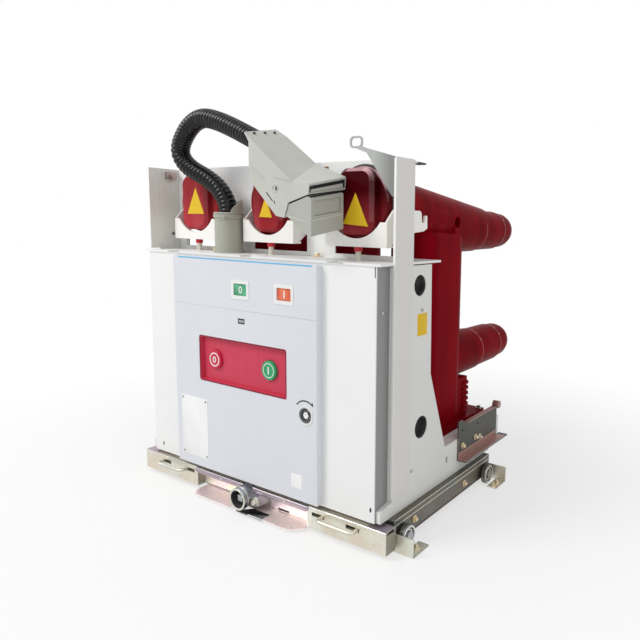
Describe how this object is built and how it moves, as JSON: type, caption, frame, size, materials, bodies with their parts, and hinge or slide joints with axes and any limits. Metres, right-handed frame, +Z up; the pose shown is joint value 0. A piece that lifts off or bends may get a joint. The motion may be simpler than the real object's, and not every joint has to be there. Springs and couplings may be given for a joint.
{
  "type": "vacuum load switch-fuse truck",
  "caption": "Withdrawable vacuum load switch with inclined fuse barrels over red cast poles, white mechanism housing, control plug and a wheeled racking truck",
  "frame": {"origin": "on the floor under the middle of the truck: halfway between the side feet and halfway from the crank cup to the arm ends", "axes": "+Z up, -Y to the front (door and front beam), +X to the right seen from the front"},
  "size_m": [0.712, 0.675, 0.7535],
  "materials": {
    "white_paint": "smooth off-white powder coat",
    "door_paint": "pale blue-grey powder coat",
    "grey_paint": "warm light-grey powder coat",
    "crimson_paint": "crimson enamel",
    "red_epoxy": "glossy dark-red cast epoxy",
    "dark_gasket": "dark rubber",
    "cradle_plastic": "off-white moulded plastic",
    "pin_red": "red plastic",
    "zinc": "bright zinc plating",
    "zinc_yellow": "zinc plating with a yellow and pink tint",
    "steel": "plain machined steel",
    "silver": "silver-plated copper",
    "grey_plastic": "grey glass-filled plastic",
    "hose_black": "black corrugated conduit",
    "button_red": "red push button",
    "button_green": "green push button",
    "window_frame": "white frame with a clear pane",
    "black_plastic": "black plastic"
  },
  "bodies": {
    "truck": {"mechanism_housing": "white_paint", "door_panel": "door_paint", "control_recess": "crimson_paint", "indicator_windows": "window_frame", "counter_window": "black_plastic", "charging_socket": "steel", "top_plate": "white_paint", "partition_panel": "white_paint", "right_upright": "grey_paint", "left_upright": "grey_paint", "lifting_gusset": "grey_paint", "upright_latch": "zinc_yellow", "right_side_plate": "white_paint", "left_side_plate": "white_paint", "rear_deck": "white_paint", "left_pole": "red_epoxy", "middle_pole": "red_epoxy", "right_pole": "red_epoxy", "cap_gaskets": "dark_gasket", "fuse_caps": "red_epoxy", "fuse_cradles": "cradle_plastic", "striker_pins": "pin_red", "striker_guides": "cradle_plastic", "side_rails": "zinc", "cross_members": "zinc", "wheel_pins": "steel", "guide_feet": "zinc_yellow", "shutter_brackets": "zinc_yellow", "arm_contacts": "silver", "hose_socket": "grey_plastic", "plug_hose": "hose_black", "plug_hood": "grey_plastic", "plug_cover": "grey_plastic"},
    "front_carriage": {"front_beam": "zinc_yellow", "beam_tray": "zinc_yellow", "crank_cup": "steel"},
    "screw": {"racking_screw": "steel"},
    "left_handle": {"left_latch_handle": "zinc_yellow"},
    "right_handle": {"right_latch_handle": "zinc_yellow"},
    "off_push": {"off_button": "button_red"},
    "on_push": {"on_button": "button_green"},
    "left_front_roller": {"left_front_wheel": "zinc"},
    "left_rear_roller": {"left_rear_wheel": "zinc"},
    "right_front_roller": {"right_front_wheel": "zinc"},
    "right_rear_roller": {"right_rear_wheel": "zinc"}
  },
  "joints": [
    {"name": "carriage_slide", "type": "slide", "parent": "truck", "child": "front_carriage", "axis": [0, -1, 0], "range_m": [0, 0.2]},
    {"name": "screw_turn", "type": "hinge", "parent": "front_carriage", "child": "screw", "pos_m": [0, -0.2985, 0.03], "axis": [0, 1, 0], "continuous": true},
    {"name": "left_latch_slide", "type": "slide", "parent": "front_carriage", "child": "left_handle", "axis": [1, 0, 0], "range_m": [0, 0.02], "stiffness_N_per_m": 500, "springref_m": -0.006},
    {"name": "right_latch_slide", "type": "slide", "parent": "front_carriage", "child": "right_handle", "axis": [-1, 0, 0], "range_m": [0, 0.02], "stiffness_N_per_m": 500, "springref_m": -0.006},
    {"name": "off_press", "type": "slide", "parent": "truck", "child": "off_push", "axis": [0, 1, 0], "range_m": [0, 0.003], "stiffness_N_per_m": 800, "springref_m": -0.002},
    {"name": "on_press", "type": "slide", "parent": "truck", "child": "on_push", "axis": [0, 1, 0], "range_m": [0, 0.003], "stiffness_N_per_m": 800, "springref_m": -0.002},
    {"name": "left_front_roll", "type": "hinge", "parent": "truck", "child": "left_front_roller", "pos_m": [-0.324, -0.2465, 0.02], "axis": [1, 0, 0], "continuous": true},
    {"name": "left_rear_roll", "type": "hinge", "parent": "truck", "child": "left_rear_roller", "pos_m": [-0.324, 0.0615, 0.02], "axis": [1, 0, 0], "continuous": true},
    {"name": "right_front_roll", "type": "hinge", "parent": "truck", "child": "right_front_roller", "pos_m": [0.324, -0.2465, 0.02], "axis": [1, 0, 0], "continuous": true},
    {"name": "right_rear_roll", "type": "hinge", "parent": "truck", "child": "right_rear_roller", "pos_m": [0.324, 0.0615, 0.02], "axis": [1, 0, 0], "continuous": true}
  ]
}
